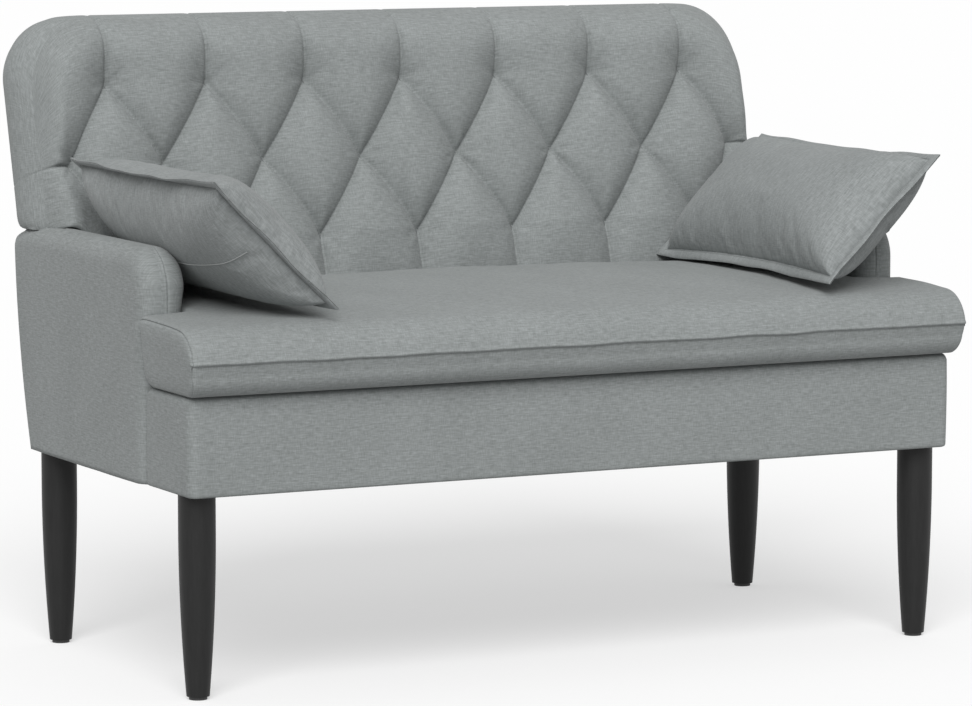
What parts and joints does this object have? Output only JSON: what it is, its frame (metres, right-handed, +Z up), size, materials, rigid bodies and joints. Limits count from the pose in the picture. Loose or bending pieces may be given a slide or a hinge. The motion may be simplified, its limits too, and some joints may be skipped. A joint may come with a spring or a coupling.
{
  "type": "settee",
  "caption": "Straight upholstered settee bench with a diamond-tufted leaning back, low padded arms, a crowned seat pad on a boxed base, tapered round legs and loose flanged pillows.",
  "frame": {"origin": "on the floor, under the middle of the bounding box", "axes": "+X to the sitter's left along the seat (right in the front view), +Y towards the back, +Z up"},
  "size_m": [1.064, 0.645, 0.793],
  "materials": {
    "upholstery": "grey linen-look weave, matte",
    "pillow_cloth": "grey linen-look weave, matte",
    "fibre_fill": "loose polyester fibre",
    "foam": "open-cell upholstery foam",
    "felt": "needled felt",
    "lining": "black non-woven lining",
    "frame_wood": "planed softwood, unfinished",
    "board": "thin plywood",
    "black_leg": "satin black lacquer",
    "glide": "moulded glide",
    "spring_steel": "oiled spring wire",
    "zinc_steel": "zinc plated",
    "twine": "waxed twine"
  },
  "bodies": {
    "settee": {"arm_bolts": "zinc_steel", "back_board": "board", "back_bolts": "zinc_steel", "back_bottom_rail": "frame_wood", "back_cover": "upholstery", "back_foam": "foam", "back_left_end_post": "frame_wood", "back_left_upright": "frame_wood", "back_left_wing_rail": "frame_wood", "back_middle_rail": "frame_wood", "back_rear_cover": "upholstery", "back_right_end_post": "frame_wood", "back_right_upright": "frame_wood", "back_right_wing_rail": "frame_wood", "back_top_rail": "frame_wood", "base_cover": "upholstery", "centre_bearer": "frame_wood", "deck_felt": "felt", "dust_cover": "lining", "front_left_leg": "black_leg", "front_rail": "frame_wood", "front_right_leg": "black_leg", "insert_nuts": "zinc_steel", "left_arm_bottom_rail": "frame_wood", "left_arm_cover": "upholstery", "left_arm_foam": "foam", "left_arm_front_post": "frame_wood", "left_arm_rear_post": "frame_wood", "left_arm_top_rail": "frame_wood", "left_corner_block": "frame_wood", "left_front_return": "frame_wood", "left_side_rail": "frame_wood", "leg_bolts": "zinc_steel", "leg_glides": "glide", "leg_tee_nuts": "zinc_steel", "rear_cover": "upholstery", "rear_left_leg": "black_leg", "rear_rail": "frame_wood", "rear_right_leg": "black_leg", "right_arm_bottom_rail": "frame_wood", "right_arm_cover": "upholstery", "right_arm_foam": "foam", "right_arm_front_post": "frame_wood", "right_arm_rear_post": "frame_wood", "right_arm_top_rail": "frame_wood", "right_corner_block": "frame_wood", "right_front_return": "frame_wood", "right_side_rail": "frame_wood", "seat_cover": "upholstery", "seat_foam": "foam", "spring_clips": "spring_steel", "tuft_ties": "twine", "zigzag_springs": "spring_steel"},
    "left_pillow": {"left_pillow_fill": "fibre_fill", "left_pillow_lower_panel": "pillow_cloth", "left_pillow_upper_panel": "pillow_cloth"},
    "right_pillow": {"right_pillow_fill": "fibre_fill", "right_pillow_lower_panel": "pillow_cloth", "right_pillow_upper_panel": "pillow_cloth"}
  },
  "joints": [
    {"name": "left_pillow_lift", "type": "slide", "parent": "settee", "child": "left_pillow", "axis": [0, 0, 1], "range_m": [0, 0.36]},
    {"name": "right_pillow_lift", "type": "slide", "parent": "settee", "child": "right_pillow", "axis": [0, 0, 1], "range_m": [0, 0.36]}
  ]
}
